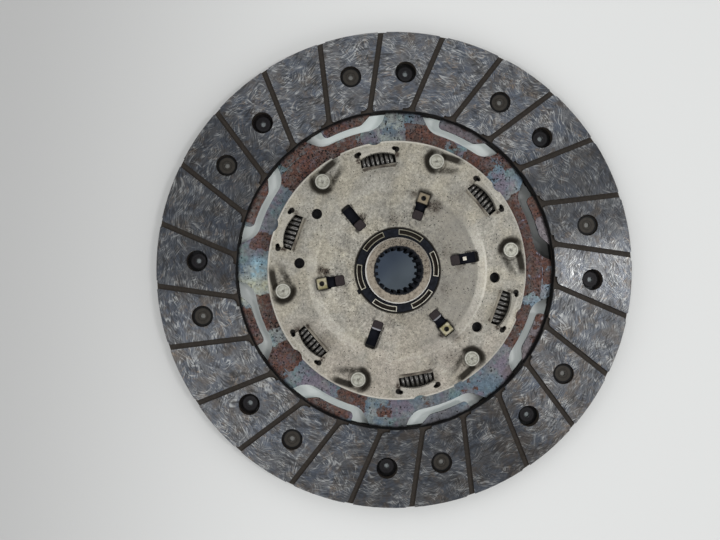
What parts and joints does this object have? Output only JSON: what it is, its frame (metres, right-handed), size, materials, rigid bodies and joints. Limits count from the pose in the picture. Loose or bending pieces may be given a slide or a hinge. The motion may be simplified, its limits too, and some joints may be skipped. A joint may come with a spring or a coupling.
{
  "type": "clutch disc",
  "caption": "Flat round clutch disc: two grooved friction facings on a sprung plate, round a torsion damper with coil springs and a splined hub.",
  "frame": {"origin": "on the disc's axis, in the plane that the lower stop-rivet heads rest on", "axes": "+Z along the hub's axis, from the flywheel side to the gearbox side; +X and +Y lie in the disc"},
  "size_m": [0.24, 0.24, 0.0202],
  "materials": {
    "facing": "matt moulded friction lining with fibre strands",
    "rivet_brass": "dull brown tubular rivets",
    "blued_spring_steel": "heat-tinted spring steel with rust",
    "zinc_sheet": "dull grey-beige coated pressing",
    "rivet_steel": "dull steel",
    "black_plastic": "matt",
    "yellow_zinc": "yellow-passivated sheet",
    "dark_spring_steel": "dark phosphated",
    "washer": "brown-black friction material",
    "dark_forged_steel": "dark phosphated",
    "hub_steel": "worn machined steel"
  },
  "bodies": {
    "disc": {"facing_gearbox_side": "facing", "facing_flywheel_side": "facing", "facing_rivets_gearbox_side": "rivet_brass", "facing_rivets_flywheel_side": "rivet_brass", "cushion_plate": "blued_spring_steel", "retainer_plate": "zinc_sheet", "drive_plate": "zinc_sheet", "stop_rivets": "rivet_steel", "bearing_ring_gearbox_side": "black_plastic", "control_plate": "yellow_zinc", "diaphragm_spring": "dark_spring_steel", "friction_washer_gearbox_side": "washer", "bearing_bush_flywheel_side": "black_plastic", "friction_washer_flywheel_side": "washer", "cone_spring_flywheel_side": "dark_spring_steel", "damper_spring_1": "dark_spring_steel", "damper_spring_2": "dark_spring_steel", "damper_spring_3": "dark_spring_steel", "damper_spring_4": "dark_spring_steel", "damper_spring_5": "dark_spring_steel", "damper_spring_6": "dark_spring_steel"},
    "flange": {"hub_flange": "dark_forged_steel", "idle_spring_1": "dark_spring_steel", "idle_spring_2": "dark_spring_steel", "idle_spring_3": "dark_spring_steel", "idle_spring_4": "dark_spring_steel"},
    "hub": {"hub": "hub_steel"}
  },
  "joints": [
    {"name": "main_damper", "type": "hinge", "parent": "disc", "child": "flange", "pos_m": [0, 0, 0.008], "axis": [0, 0, 1], "range_deg": [-4, 4], "stiffness_Nm_per_rad": 20, "deforming": ["damper_spring_1", "damper_spring_2", "damper_spring_3", "damper_spring_4", "damper_spring_5", "damper_spring_6"]},
    {"name": "idle_damper", "type": "hinge", "parent": "flange", "child": "hub", "pos_m": [0, 0, 0.008], "axis": [0, 0, 1], "range_deg": [-4, 4], "stiffness_Nm_per_rad": 0.5, "deforming": ["idle_spring_1", "idle_spring_2", "idle_spring_3", "idle_spring_4"]}
  ]
}
